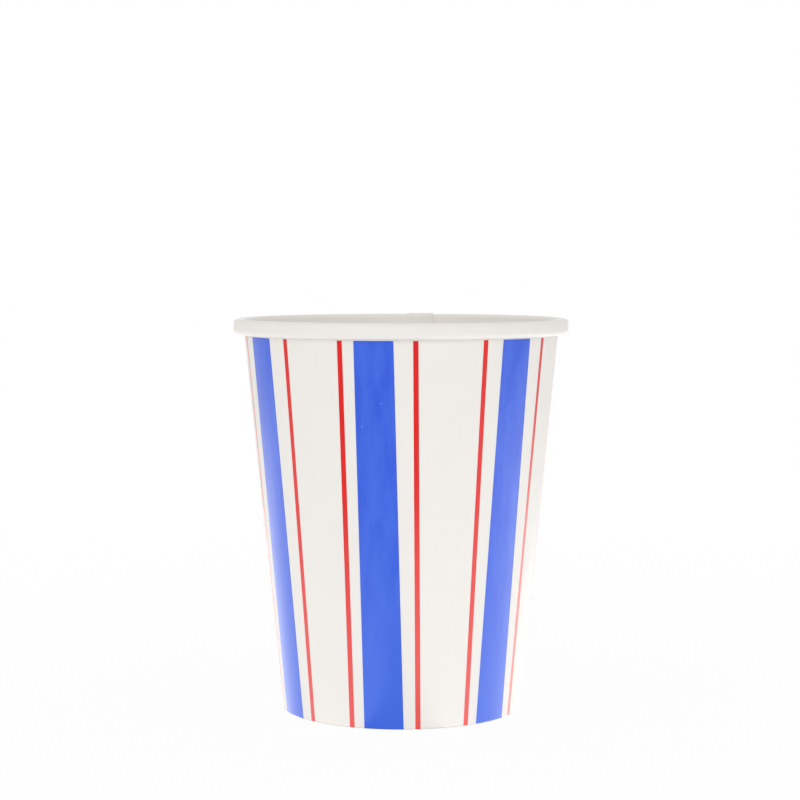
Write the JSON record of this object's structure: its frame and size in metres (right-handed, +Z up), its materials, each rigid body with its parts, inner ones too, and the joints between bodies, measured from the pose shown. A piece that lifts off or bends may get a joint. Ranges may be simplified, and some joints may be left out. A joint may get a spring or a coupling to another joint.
{
  "type": "paper cup",
  "caption": "Single-wall paper cup: a tapered board wall with a rolled rim and a glued side lap, closed by a recessed board base, with blue and red upright stripes.",
  "frame": {"origin": "middle of the foot, on the plane that the cup stands on", "axes": "+Z up along the cup's axis, towards the rim; -Y towards the front, where the picture was taken from; the side lap is at the back"},
  "size_m": [0.08, 0.08, 0.0935],
  "materials": {
    "coated_board": "satin",
    "blue_ink": "satin",
    "red_ink": "satin"
  },
  "bodies": {
    "root": {"sidewall": "coated_board", "base_disc": "coated_board", "blue_stripes": "blue_ink", "red_lines": "red_ink"}
  },
  "joints": []
}
